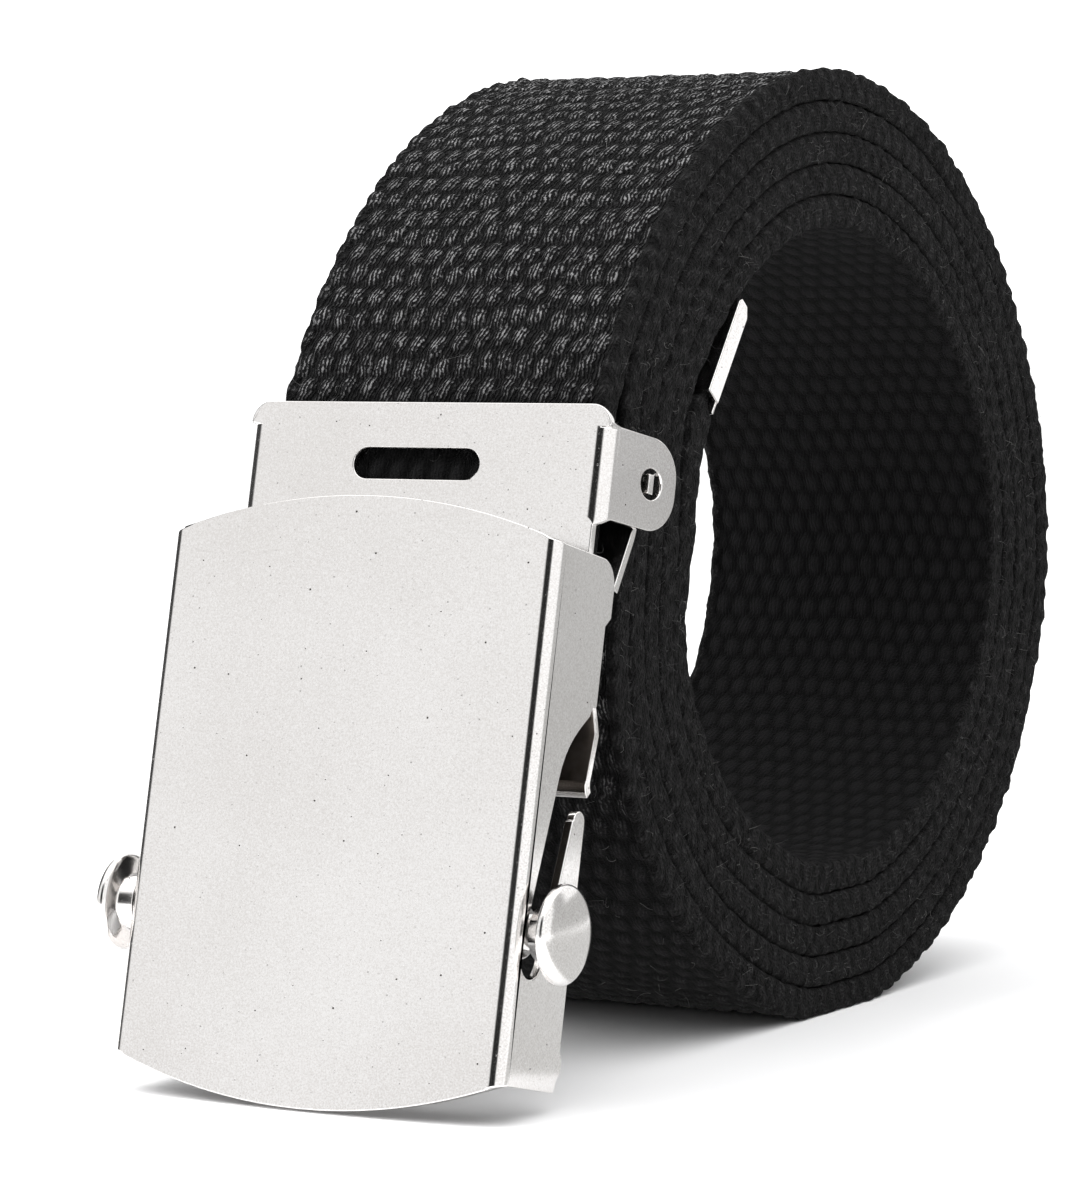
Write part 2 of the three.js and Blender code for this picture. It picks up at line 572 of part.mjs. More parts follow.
// The flap is drawn round its pivot, so that it can swing there.
function clampFlap() {
  let flap = acrossWidth(stripOutline(flapSideLine(), SHEET), 2 * FLAP_HALF);
  const pinEnd = EAR_FOLD_U + PIVOT_REACH * Math.sin(EAR_SPLAY) + SHEET;
  const pinLength = pinEnd - FLAP_HALF + SHEET;
  for (const side of [-1, 1]) {
    const middle = side * (pinEnd - pinLength / 2);
    flap = flap.add(bar(pinLength, FLAP_PIN_THICKNESS, FLAP_PIN_HEIGHT, middle, PIVOT_W, PIVOT_V));
  }
  const teeth = Math.floor((2 * FLAP_HALF) / TOOTH_PITCH);
  const notch = new THREE.Shape([
    new THREE.Vector2(-TOOTH_PITCH / 2, -TOOTH_HEIGHT),
    new THREE.Vector2(TOOTH_PITCH / 2, -TOOTH_HEIGHT),
    new THREE.Vector2(0, TOOTH_HEIGHT),
  ]);
  const cutter = frontToBack(notch, WEB_BACK - PAST, KNEE.w);
  for (let i = 0; i < teeth; i += 1) {
    const across = (i - (teeth - 1) / 2) * TOOTH_PITCH;
    flap = flap.subtract(cutter.translate([across, 0, FOOT.v]));
  }
  return toGeometry(flap.translate([0, -PIVOT_W, -PIVOT_V]));
}

// The roller bar is drawn round its own axis: a plain roller between the flanges, with a neck at each end.
function rollerBar() {
  const half = COVER_HALF - SHEET - GAP;
  const end = COVER_HALF + BUTTON_STANDOFF + BUTTON_RIM;
  const roller = cylinderAcross(ROLLER_DIAMETER / 2, 2 * half, 0, 0);
  return toGeometry(roller.add(cylinderAcross(NECK_DIAMETER / 2, 2 * end, 0, 0)));
}

// A domed head on the neck's end. Its collar's bore takes the neck, and stops short of the dome.
function button(side) {
  const bore = NECK_DIAMETER / 2 + GAP;
  const collarFoot = COVER_HALF + GAP;
  const under = COVER_HALF + BUTTON_STANDOFF;
  const rimTop = under + BUTTON_RIM;
  const boreEnd = rimTop + GAP;
  const radius = BUTTON_DIAMETER / 2;
  const profile = [
    new THREE.Vector2(0, boreEnd),
    new THREE.Vector2(bore, boreEnd),
    new THREE.Vector2(bore, collarFoot),
    new THREE.Vector2(COLLAR_DIAMETER / 2, collarFoot),
    new THREE.Vector2(COLLAR_DIAMETER / 2, under),
    new THREE.Vector2(radius - GAP, under),
    new THREE.Vector2(radius, under + GAP),
  ];
  const domeSteps = 6;
  for (let i = 0; i <= domeSteps; i += 1) {
    const angle = (i / domeSteps) * (Math.PI / 2);
    profile.push(new THREE.Vector2(radius * Math.cos(angle), rimTop + BUTTON_DOME * Math.sin(angle)));
  }
  profile[profile.length - 1].x = 0;
  const geometry = new THREE.LatheGeometry(profile, ROUND_SEGMENTS);
  geometry.rotateZ(-side * Math.PI / 2);
  return toGeometry(toSolid(geometry));
}

function piece(name, geometry, finish) {
  const mesh = new THREE.Mesh(geometry, new THREE.MeshStandardMaterial({ ...finish }));
  mesh.name = name;
  return mesh;
}

const belt = new THREE.Group();
belt.add(piece('web_strap', webStrap(), CLOTH));

const cap = piece('tip_cap', tipCap(), METAL);
const tip = tipLine();
cap.position.set(0, tip.mouth.x, tip.mouth.y);
cap.rotation.x = -Math.atan2(tip.along.x, tip.along.y);
belt.add(cap);

const buckle = new THREE.Group();
buckle.position.set(0, BUCKLE_FOOT_Y, BUCKLE_FOOT_Z);
buckle.rotation.x = -TILT;
buckle.add(piece('buckle_cover', buckleCover(), METAL));
buckle.add(piece('back_plate', backPlate(), METAL));

const flap = piece('clamp_flap', clampFlap(), METAL);
flap.position.set(0, PIVOT_W, PIVOT_V);
buckle.add(flap);

const roller = new THREE.Group();
const rollerSeat = slotPoint(ROLLER_LIFT, 0);
roller.position.set(0, rollerSeat.x, rollerSeat.y);
roller.add(piece('roller_bar', rollerBar(), METAL));
roller.add(piece('button_right', button(1), METAL));
roller.add(piece('button_left', button(-1), METAL));
buckle.add(roller);
belt.add(buckle);

export default belt;
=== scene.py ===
import math
import random

import bmesh
import bpy
import numpy as np
from mathutils import Matrix, Vector


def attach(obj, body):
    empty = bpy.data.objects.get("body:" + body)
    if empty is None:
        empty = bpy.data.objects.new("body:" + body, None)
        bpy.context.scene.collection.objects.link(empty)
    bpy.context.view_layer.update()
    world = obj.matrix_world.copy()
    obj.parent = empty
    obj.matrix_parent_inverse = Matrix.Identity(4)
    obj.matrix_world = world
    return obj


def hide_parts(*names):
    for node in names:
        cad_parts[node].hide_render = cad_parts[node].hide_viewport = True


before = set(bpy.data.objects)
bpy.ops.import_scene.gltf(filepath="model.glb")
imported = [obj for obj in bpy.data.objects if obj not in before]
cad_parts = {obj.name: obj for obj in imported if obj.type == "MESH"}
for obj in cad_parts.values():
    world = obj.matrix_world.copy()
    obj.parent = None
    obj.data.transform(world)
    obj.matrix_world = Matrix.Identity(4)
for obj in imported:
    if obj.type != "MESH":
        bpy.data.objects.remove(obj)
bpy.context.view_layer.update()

random.seed(7)
MM = 0.001

# The web: one long strip of coarse black cotton, woven with fat warp grains that lie in
# brick order on both faces. It starts in the clamp behind the buckle, bends over into the
# roll, makes five turns and ends in the tip. It is woven here in three lengths that join up.

# The web's section, and the air between two turns, in the roll and where the buckle presses
WEB_HALF, WEB_THICKNESS, WEB_CORE, EDGE_ROUND = 16.0, 2.4, 2.3, 0.8
WEB_AIR, WEB_AIR_PRESSED = 0.5, 0.32
# The roll's outline, as shares of its radius in rows of 20 degrees from the front over the top
ROLL_HUB, ROLL_RADIUS = 43.5, 46.0
ROLL_SHARES = [1.074, 1.033, 1.000, 0.980, 0.967, 0.970, 0.993, 1.033, 1.067,
               1.048, 1.009, 0.972, 0.955, 0.955, 0.963, 0.998, 1.026, 1.020]
FIRST_ROW, ROW_STEP = 20.0, 20.0
SLACK_SPREAD, PRESS_SPREAD, PRESS_DEPTH, PRESS_AT = 28.0, 12.0, 1.7, 4.776
DENT_FROM, JOIN_AT, WEB_TURNS, TIP_START = 300.0, 36.0, 5, 25.0
# The end in the tip: it is drawn inwards, then follows the cap, which stands steeper and is
# pressed thinner than its solid
TIP_INWARDS, TIP_EASE = 0.85, 35.0
CAP_SOLID_MOUTH, CAP_SOLID_LEAN = np.array([-29.738, 57.367]), math.radians(45.363)
CAP_THICKNESS, CAP_THINNER = 3.0, 0.72
CAP_SHIFT, CAP_LEAN = np.array([1.1, 1.21]), math.radians(37.4)
CAP_HEADING = np.array([math.sin(CAP_LEAN), math.cos(CAP_LEAN)])
CAP_OUTWARDS = np.array([-CAP_HEADING[1], CAP_HEADING[0]])
CAP_MIDDLE = CAP_THICKNESS * (1 - CAP_THINNER) / 2
CAP_MOUTH = CAP_SOLID_MOUTH + CAP_SHIFT - CAP_OUTWARDS * CAP_MIDDLE
IN_CAP, CAP_GAP_HALF, CAP_WEB_HALF = 4.0, 0.68, 15.6
# The end in the clamp, in the buckle's own heights (v) and depths (w) from the cover's foot
BUCKLE_TILT, BUCKLE_FOOT = math.radians(12.75), np.array([-71.993, 0.1766])
CLAMP_END_V, LEAVES_V, WEB_MIDDLE_W = 43.65, 53.75, 10.8


def pitch_at(degrees):
    """From one turn to the next. The turns lie closer at the front, behind the buckle."""
    off = (degrees + 180) % 360 - 180
    pressed = math.exp(-(off / SLACK_SPREAD) ** 2)
    return WEB_THICKNESS + WEB_AIR + (WEB_AIR_PRESSED - WEB_AIR) * pressed


def outline_at(place):
    """The roll's outer radius, on a smooth curve through the shares."""
    last = len(ROLL_SHARES) - 1
    place = min(max(place, 0), last - 1e-9)
    i = int(place)
    f = place - i
    a, b, c, d = (ROLL_SHARES[min(max(i + k, 0), last)] for k in (-1, 0, 1, 2))
    if i == 0:
        a = b
    if i > last - 2:
        d = c
    v0, v1 = (c - a) / 2, (d - b) / 2
    share = (2 * b - 2 * c + v0 + v1) * f**3 + (-3 * b + 3 * c - 2 * v0 - v1) * f**2 + v0 * f + b
    return share * ROLL_RADIUS


def hub_radius_at(degrees):
    """The outer turn's radius. Past the last row it closes in to become the second turn."""
    last_row = FIRST_ROW + ROW_STEP * (len(ROLL_SHARES) - 1)
    if degrees > last_row:
        end = ROLL_SHARES[0] * ROLL_RADIUS - pitch_at(FIRST_ROW)
        start = ROLL_SHARES[-1] * ROLL_RADIUS
        return start + (end - start) * (degrees - last_row) / ROW_STEP
    return outline_at((degrees - FIRST_ROW) / ROW_STEP)


def roll_point(total, inwards=0.0):
    """Middle of the web, by degrees along the roll from the front over the top."""
    turn = math.floor((total - FIRST_ROW) / 360)
    degrees = total - turn * 360
    off = (degrees - PRESS_AT + 180) % 360 - 180
    dent = PRESS_DEPTH * math.exp(-(off / PRESS_SPREAD) ** 2) if total > DENT_FROM else 0
    radius = hub_radius_at(degrees) - turn * pitch_at(degrees) - dent - WEB_THICKNESS / 2 - inwards
    angle = math.radians(degrees)
    floor = WEB_THICKNESS / 2 + turn * pitch_at(degrees)
    return np.array([-radius * math.cos(angle), max(ROLL_HUB + radius * math.sin(angle), floor)])


def buckle_to_floor(v, w):
    """A height and depth in the leaning buckle as Y and Z over the floor."""
    sin, cos = math.sin(BUCKLE_TILT), math.cos(BUCKLE_TILT)
    return BUCKLE_FOOT + np.array([v * sin + w * cos, v * cos - w * sin])


def web_line():
    """Points down the middle of the whole web, close together, and how far along each is."""
    points = [buckle_to_floor(v, WEB_MIDDLE_W) for v in np.arange(CLAMP_END_V, LEAVES_V, 0.8)]
    leaves, joins = buckle_to_floor(LEAVES_V, WEB_MIDDLE_W), roll_point(JOIN_AT)
    heading = roll_point(JOIN_AT + 1) - joins
    heading /= np.linalg.norm(heading)
    pull = np.linalg.norm(joins - leaves) / 3
    up = np.array([math.sin(BUCKLE_TILT), math.cos(BUCKLE_TILT)])
    bend = [leaves, leaves + up * pull, joins - heading * pull, joins]
    for t in np.linspace(0, 1, 24, endpoint=False):
        weights = [(1 - t) ** 3, 3 * t * (1 - t) ** 2, 3 * t * t * (1 - t), t**3]
        points.append(sum(k * p for k, p in zip(weights, bend)))
    last = WEB_TURNS * 360 + TIP_START
    for total in np.arange(JOIN_AT, last - 1, 1.0):
        ease = min(max((total - last + TIP_EASE) / TIP_EASE, 0), 1)
        points.append(roll_point(total, TIP_INWARDS * ease * ease * (3 - 2 * ease)))
    for into_cap in np.arange(-0.4, IN_CAP, 0.8):
        points.append(CAP_MOUTH + CAP_HEADING * into_cap)
    points = np.array(points)
    for _ in range(3):
        points[1:-1] = (points[:-2] + 2 * points[1:-1] + points[2:]) / 4
    reach = np.concatenate([[0], np.cumsum(np.linalg.norm(np.diff(points, axis=0), axis=1))])
    return points, reach


LINE, REACH = web_line()
WEB_LENGTH = REACH[-1]
GRAIN_PITCH, ROW_PITCH = 2.0, 2.36


def grain_height(across, along, seed, unrest):
    """Height of the woven grains, 0 between them and 1 on their backs. The rows wander a
    little, and no two grains are quite the same size."""
    sway = 0.30 * np.sin(across / 2.9 + along / 11 + seed)
    sway = sway + 0.16 * np.sin(along / 3.3 - across / 1.9)
    drift = 0.22 * np.sin(along / 7.1 + seed) + 0.10 * np.sin(along / 2.3 + across / 2.1)
    along, across = along + sway * unrest, across + drift * unrest
    row = np.round(along / ROW_PITCH)
    best = np.zeros_like(across)
    for step in (-1, 0, 1):
        r = row + step
        shift = 0.5 * np.mod(r, 2)
        column = np.round(across / GRAIN_PITCH - shift)
        chance = np.mod(np.sin(column * 12.9898 + r * 78.233 + seed) * 43758.5453, 1)
        other = np.mod(chance * 57.31, 1)
        wide = 0.76 + 0.16 * chance
        long = 1.06 + 0.24 * other
        slant = 0.35 * unrest * (np.mod(chance * 31.7, 1) - 0.5) + 0.14 * unrest
        ds = along - r * ROW_PITCH - 0.5 * unrest * (np.mod(chance * 91.7, 1) - 0.5)
        du = across - (column + shift) * GRAIN_PITCH - slant * ds - 0.28 * unrest * (other - 0.5)
        rest = 1 - (du / wide) ** 2 - (ds / long) ** 2
        best = np.maximum(best, np.sqrt(np.maximum(rest, 0)) * (1 - 0.38 * unrest * other))
    return best


EDGE_STEPS, EDGE_FULLNESS, EDGE_GROOVE = 8, 0.6, 0.12


def web_profile(face_steps):
    """Stations round the web's cross-section: across, height, outward direction and which edge.
    The edges are full and soft, with a shallow groove along their middle."""
    flat, half = WEB_HALF - EDGE_ROUND, WEB_CORE / 2
    stations = []
    for edge, steps in ((1, face_steps[0]), (-1, face_steps[1])):
        for u in np.linspace(-flat, flat, steps, endpoint=False):
            stations.append((edge * u, edge * half, 0, edge, 0))
        for k in range(EDGE_STEPS):
            a = math.pi / 2 - math.pi * k / EDGE_STEPS
            out, rise = math.cos(a), math.sin(a)
            groove = 1.0 + EDGE_GROOVE * abs(math.sin(2 * a))
            full = EDGE_ROUND * abs(out) ** EDGE_FULLNESS * groove
            level = half * math.copysign(abs(rise) ** EDGE_FULLNESS, rise)
            stations.append((edge * (flat + full), edge * level, edge * out, edge * rise, edge))
    return np.array(stations)


# How the edges stand proud, twist and wander; where the clamp's knee leans on the web; how the
# web swells before the tip and is squeezed in it; where its painted light fades to painted shade,
# and how low it may lie
EDGE_LIFT, EDGE_TWIST, EDGE_WANDER, BEAD_HEIGHT = 0.29, 0.13, 0.14, 0.04
KNEE_PAST, KNEE_IN_FRONT, KNEE_Z, KNEE_SPREAD = 150.0, -36.0, 46.0, 9.0
SWELL, SWELL_AT, SWELL_SPREAD, SQUEEZED_OVER = 0.9, 3.5, 3.0, 0.9
CLAMP_COVERS, FADES_OVER, EDGE_PAINTED_LIGHT, LOWEST = 14, 6, 0.08, 0.02


def woven_length(name, start, end, along_step, face_steps, relief):
    """One closed length of web from start to end, in millimetres along it. relief is how far
    the grains stand out of its outer and its inner face."""
    stations = web_profile(face_steps)
    count = len(stations)
    steps = int(round((end - start) / along_step))
    bm = bmesh.new()
    bmesh.ops.create_grid(bm, x_segments=steps, y_segments=count, size=0.5)
    mesh = bpy.data.meshes.new(name)
    bm.to_mesh(mesh)
    bm.free()
    co = np.zeros(len(mesh.vertices) * 3)
    mesh.vertices.foreach_get("co", co)
    co = co.reshape(-1, 3) + 0.5
    along = start + co[:, 0] * (end - start)
    ring = np.rint(co[:, 1] * count).astype(int)
    place = stations[ring % count]
    across, height, nu, nh, side = place.T
    y, z = np.interp(along, REACH, LINE[:, 0]), np.interp(along, REACH, LINE[:, 1])
    ahead = np.stack([
        np.interp(along + d, REACH, LINE[:, k]) for d in (0.6, -0.6) for k in (0, 1)])
    ty, tz = ahead[0] - ahead[2], ahead[1] - ahead[3]
    size = np.hypot(ty, tz)
    ty, tz = ty / size, tz / size
    outer_y, outer_z = -tz, ty
    # The grains of the two faces, which are a little less restless inside the roll
    grains = grain_height(across, along, 1.0, 1.0)
    grains_in = grain_height(across, along + ROW_PITCH, 4.0, 0.45)
    lift = np.where(nh > 0.5, grains * relief[0], 0)
    lift = lift + np.where(nh < -0.5, grains_in * relief[1], 0)
    # The edges are twisted like a rope, matted, and wander in and out
    phase = np.where(height > 0, 0, math.pi) + 0.5 * np.sin(along / 5.3 + side)
    beads = np.cos(2 * math.pi * along / ROW_PITCH + phase)
    wander = np.sin(along / 3.1 + 2 * side) * 0.5 + np.sin(along / 7.7 + 1.3) * 0.5
    lumps = beads * (0.6 + 0.4 * np.sin(along / 4.7 + side))
    matted = np.sin(3.7 * along + 5 * height + 2 * np.sin(0.9 * along))
    matted = matted * np.sin(1.7 * along - 3 * height)
    twist = (EDGE_TWIST * lumps + EDGE_TWIST * matted) * np.abs(nu)
    spread = np.abs(side) * (twist + EDGE_WANDER * wander)
    lift = lift + np.abs(side) * np.abs(nh) * EDGE_LIFT
    # The second turn is flattened where the open clamp's knee leans on it
    by_knee = (along > KNEE_PAST) & (y < KNEE_IN_FRONT) & (nh > 0)
    lift = lift * (1 - by_knee * np.exp(-((z - KNEE_Z) / KNEE_SPREAD) ** 4))
    u = across + nu * spread + nu * lift * 0.3
    h = height + nh * lift + np.where(side != 0, BEAD_HEIGHT * lumps, 0)
    # It swells on the inside before the tip, and is squeezed flat and narrow in its mouth
    swell = SWELL * np.exp(-((WEB_LENGTH - IN_CAP - SWELL_AT - along) / SWELL_SPREAD) ** 2)
    h = h - swell * np.clip(-nh, 0, 1)
    squeeze = np.clip((along - WEB_LENGTH + IN_CAP + SQUEEZED_OVER) / SQUEEZED_OVER, 0, 1)
    h = h * (1 - squeeze) + np.clip(h, -CAP_GAP_HALF, CAP_GAP_HALF) * squeeze
    u = u * (1 - squeeze * (1 - CAP_WEB_HALF / (WEB_HALF + 0.2)))
    points = np.stack([u, y + outer_y * h, np.maximum(z + outer_z * h, LOWEST)], 1) * MM
    mesh.vertices.foreach_set("co", points.ravel())
    # What the finish needs to know: how proud a grain stands, and its share of painted light. A
    # low share paints shade, darker and without glints: under the roll where the outer face looks
    # down, behind the clamp and on the inner face. The edges get a small share and few glints.
    proud = np.where(nh > 0.5, grains, np.where(nh < -0.5, grains_in, 0))
    proud = np.where(side != 0, 0.40 + 0.40 * beads, proud)
    painted_face_light = 0.05 + 0.95 * np.clip((outer_z + 0.6) / 0.6, 0, 1)
    painted_face_light = painted_face_light * np.clip((along - CLAMP_COVERS) / FADES_OVER, 0, 1)
    painted_light = np.where(side != 0, EDGE_PAINTED_LIGHT, np.where(nh > 0, painted_face_light, 0.0))
    for attribute, values in [
        ("grain_back", proud), ("painted_light_share", painted_light), ("matted", np.abs(side)),
    ]:
        stored = mesh.attributes.new(attribute, "FLOAT", "POINT")
        stored.data.foreach_set("value", values.astype(np.float32))
    # The weave's own map: U counts grains across, V counts rows along
    around = np.concatenate([[0], np.cumsum(np.hypot(*np.diff(
        np.vstack([stations, stations[:1]])[:, :2], axis=0).T))])
    u_map = (around[ring] - WEB_HALF + EDGE_ROUND) / GRAIN_PITCH
    v_map = along / ROW_PITCH
    corners = np.zeros(len(mesh.loops), int)
    mesh.loops.foreach_get("vertex_index", corners)
    weave = mesh.uv_layers.new(name="weave")
    weave.data.foreach_set("uv", np.stack([u_map[corners], v_map[corners]], 1).ravel())
    bm = bmesh.new()
    bm.from_mesh(mesh)
    bmesh.ops.remove_doubles(bm, verts=bm.verts, dist=1e-7)
    bmesh.ops.holes_fill(bm, edges=[e for e in bm.edges if e.is_boundary], sides=0)
    bmesh.ops.recalc_face_normals(bm, faces=bm.faces)
    for face in bm.faces:
        face.smooth = True
    bm.to_mesh(mesh)
    bm.free()
    piece = bpy.data.objects.new(name, mesh)
    bpy.context.scene.collection.objects.link(piece)
    return piece


class Value:
    """A shader socket that can be used in arithmetic."""

    def __init__(self, finish, socket):
        self.finish, self.socket = finish, socket

    def math(self, operation, *others):
        return self.finish.node("ShaderNodeMath", {"operation": operation}, [self, *others])

    def __add__(self, other):
        return self.math("ADD", other)

    def __sub__(self, other):
        return self.math("SUBTRACT", other)

    def __mul__(self, other):
        return self.math("MULTIPLY", other)

    def __truediv__(self, other):
        return self.math("DIVIDE", other)

    def __rsub__(self, other):
        return self.finish.node("ShaderNodeMath", {"operation": "SUBTRACT"}, [other, self])

    def between(self, low, high):
        """0 below low, 1 above high, and a soft rise between them."""
        return self.finish.node("ShaderNodeMapRange", {"interpolation_type": "SMOOTHSTEP"},
                                [self, low, high, 0.0, 1.0])

    __radd__ = __add__
    __rmul__ = __mul__


class Finish:
    """A material whose nodes are made by one method."""

    def __init__(self, name, room=None, **settings):
        self.material = room or bpy.data.materials.new(name)
        self.material.use_nodes = True
        self.tree = self.material.node_tree
        self.shader = self.tree.nodes["Background" if room else "Principled BSDF"]
        for key, value in settings.items():
            self.shader.inputs[key.replace("_", " ")].default_value = value

    def node(self, kind, settings=None, inputs=(), out=0):
        made = self.tree.nodes.new(kind)
        for key, value in (settings or {}).items():
            if key == "stops":
                stops = made.color_ramp.elements
                for k, (position, colour) in enumerate(value):
                    stop = stops[k] if k < 2 else stops.new(1)
                    stop.position, stop.color = position, colour
            else:
                setattr(made, key, value)
        pairs = inputs.items() if isinstance(inputs, dict) else enumerate(inputs)
        for key, value in pairs:
            if isinstance(value, Value):
                self.tree.links.new(value.socket, made.inputs[key])
            else:
                made.inputs[key].default_value = value
        return Value(self, made.outputs[out])

    def feed(self, socket, value):
        self.tree.links.new(value.socket, self.shader.inputs[socket])

    def blend(self, factor, first, second):
        return self.node(
            "ShaderNodeMix", {"data_type": "RGBA"}, {0: factor, 6: first, 7: second}, 2)

    def grain(self, vector, scale, detail, rough=0.5):
        return self.node("ShaderNodeTexNoise", None, {
            "Vector": vector, "Scale": scale, "Detail": detail, "Roughness": rough})

    def relief(self, height, distance, strength):
        return self.node("ShaderNodeBump", None, {
            "Strength": strength, "Distance": distance, "Height": height})


def black_cotton():
    """Matt black yarn. Each grain is a bundle of slanting yarns whose backs glint with painted
    highlights over a glossy coat, and the gaps between the grains are painted deep black as shade."""
    cotton = Finish("black_cotton", Roughness=0.88, Sheen_Weight=0.03, Sheen_Roughness=0.4,
                    Specular_IOR_Level=0.07, Coat_IOR=2.1, Coat_Roughness=0.35)
    weave = cotton.node("ShaderNodeUVMap", {"uv_map": "weave"})
    back = cotton.node("ShaderNodeAttribute", {"attribute_name": "grain_back"}, out=2)
    painted_light = cotton.node("ShaderNodeAttribute", {"attribute_name": "painted_light_share"}, out=2)
    matted = cotton.node("ShaderNodeAttribute", {"attribute_name": "matted"}, out=2)
    place = cotton.node("ShaderNodeTexCoord", out=3)
    across = cotton.node("ShaderNodeSeparateXYZ", None, [weave], 0)
    along = cotton.node("ShaderNodeSeparateXYZ", None, [weave], 1)
    wobble = cotton.grain(place, 1000, 2.0)
    fibre = cotton.grain(place, 5200, 3.0, 0.7)
    tuft = cotton.grain(place, 320, 2.0)
    broken = cotton.grain(place, 2500, 3.0, 0.6)
    # Yarns lie slanted in a grain, one way in every odd row and the other way in the even ones
    row = along.math("ROUND")
    shift = row.math("FLOORED_MODULO", 2.0) * 0.5
    from_middle = across - shift - (across - shift).math("ROUND")
    along_grain = along - row
    slant = row.math("FLOORED_MODULO", 2.0) * -2.4 + 1.9
    yarns_across = from_middle * 5.4 - along_grain * slant + wobble * 1.9
    yarn = (yarns_across * (2 * math.pi)).math("SINE")
    clump = cotton.grain(place, 1150, 4.0, 0.65)
    height = yarn * 0.20 + (yarn * 0.5 + broken * 1.2) * painted_light + fibre * 2.2
    height = height + (clump - 0.5) * 7.0 * matted
    cotton.feed("Normal", cotton.relief(height, 0.0003, 1.0))
    # The grains' backs glint with a painted highlight in the base colour and with a glossy coat,
    # as far as the web's share of painted light allows. The gaps between grains are painted dark
    # as shade.
    # The outer face is greyer than the inner one: the inner colour is a painted shaded copy, also
    # used where the painted light is low. The edges are tangled.
    on_back = back.between(0.10, 0.92) * 0.95 + 0.05
    glint = (yarn * 0.50 + broken * 3.3 + fibre * 2.2).between(2.82, 3.52) * on_back * painted_light
    shade = (back * 0.85 + fibre * 1.4 + tuft * 0.3 + yarn * 0.22).between(1.0, 2.15)
    outer = cotton.blend(shade, (0.0012, 0.0012, 0.0014, 1), (0.0275, 0.027, 0.0285, 1))
    shaded = (back * 1.3 + fibre * 0.7 + yarn * 0.06).between(0.35, 1.70)
    inner = cotton.blend(shaded, (0.0028, 0.0028, 0.003, 1), (0.0114, 0.0112, 0.0118, 1))
    tangled = cotton.blend((clump * 1.6 + fibre * 0.9 + back * 0.3).between(1.0, 1.9),
                           (0.0012, 0.0012, 0.0013, 1), (0.0175, 0.017, 0.0175, 1))
    dark = cotton.blend(matted, cotton.blend(painted_light, inner, outer), tangled)
    cotton.feed("Base Color", cotton.blend(glint, dark, (0.25, 0.246, 0.25, 1)))
    cotton.feed("Coat Weight", glint)
    return cotton.material


WEB_COTTON = black_cotton()


def reach_at(total):
    """How far along the web a place in the roll is."""
    return REACH[int(np.argmin(np.linalg.norm(LINE - roll_point(total), axis=1)))]


# The joins lie inside the roll, a little more than one turn from either end. The faces that
# show get fine steps across (outer, inner) and deep grains, the hidden ones coarse and shallow.
FIRST_CUT = reach_at(JOIN_AT + 370)
LAST_CUT = reach_at(WEB_TURNS * 360 + TIP_START - 395)
web_pieces = [
    woven_length("web_outer_turn", 0.0, FIRST_CUT, 0.46, (106, 12), (0.34, 0.12)),
    woven_length("web_middle_turns", FIRST_CUT, LAST_CUT, 0.60, (14, 14), (0.12, 0.12)),
    woven_length("web_inner_turn", LAST_CUT, WEB_LENGTH, 0.43, (12, 106), (0.12, 0.26)),
]
for web_piece in web_pieces:
    web_piece.data.materials.append(WEB_COTTON)
    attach(web_piece, "belt")
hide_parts("web_strap")


# The buckle and the tip: stamped steel sheet, bright nickel plated. The plating is smooth but
# shows fine pits, tiny dots and clouds, and every cut edge is slightly rounded.
OLD_BROWN = (0.05, 0.042, 0.036, 1)


def bright_nickel(name, polish):
    """Nickel plate with cloudy patches and three sizes of dark dots."""
    nickel = Finish(name, Metallic=1.0)
    place = nickel.node("ShaderNodeTexCoord", out=3)
    cloud = nickel.grain(place, 45, 3.0)
    peel = nickel.grain(place, 1600, 2.0)
    local = nickel.node("ShaderNodeMapping", None, {
        "Vector": place, "Rotation": (BUCKLE_TILT, 0, 0)})
    sheet_x = nickel.node("ShaderNodeSeparateXYZ", None, [local], 0)
    sheet_w = nickel.node("ShaderNodeSeparateXYZ", None, [local], 1)
    sheet_v = nickel.node("ShaderNodeSeparateXYZ", None, [local], 2)
    # Dots: how many to the metre, their size in a cell, the share of cells with one, how dark
    marks = 0.0
    for cells, radius, share, strength in [
        (290.0, 0.014, 0.45, 0.90), (520.0, 0.021, 0.42, 0.50), (1000.0, 0.042, 0.42, 0.24),
    ]:
        flat = nickel.node("ShaderNodeCombineXYZ", None, [sheet_x + sheet_w + cells, sheet_v, 0.0])
        cell = {"Vector": flat, "Scale": cells}
        near = nickel.node("ShaderNodeTexVoronoi", {"voronoi_dimensions": "2D"}, cell, 0)
        colour = nickel.node("ShaderNodeTexVoronoi", {"voronoi_dimensions": "2D"}, cell, 1)
        chance = nickel.node("ShaderNodeSeparateColor", None, [colour], 0)
        bigger = nickel.node("ShaderNodeSeparateColor", None, [colour], 1)
        dot = 1.0 - (near / (bigger + 0.35)).between(radius, radius * 2.0)
        marks = dot * (1.0 - chance.between(share, share + 0.02)) * strength + marks
    frost = nickel.grain(place, 6500, 1.0)
    body = nickel.blend((cloud * 0.5 + frost * 0.9).between(0.40, 1.0),
                        (0.775, 0.75, 0.73, 1), (0.95, 0.935, 0.925, 1))
    nickel.feed("Base Color", nickel.blend(marks.between(0.0, 1.0), body, OLD_BROWN))
    nickel.feed("Roughness", cloud * 0.07 + marks * 0.3 + polish)
    nickel.feed("Normal", nickel.relief(peel * 0.12 - marks * 0.8 + cloud * 1.5, 0.00003, 0.5))
    return nickel.material


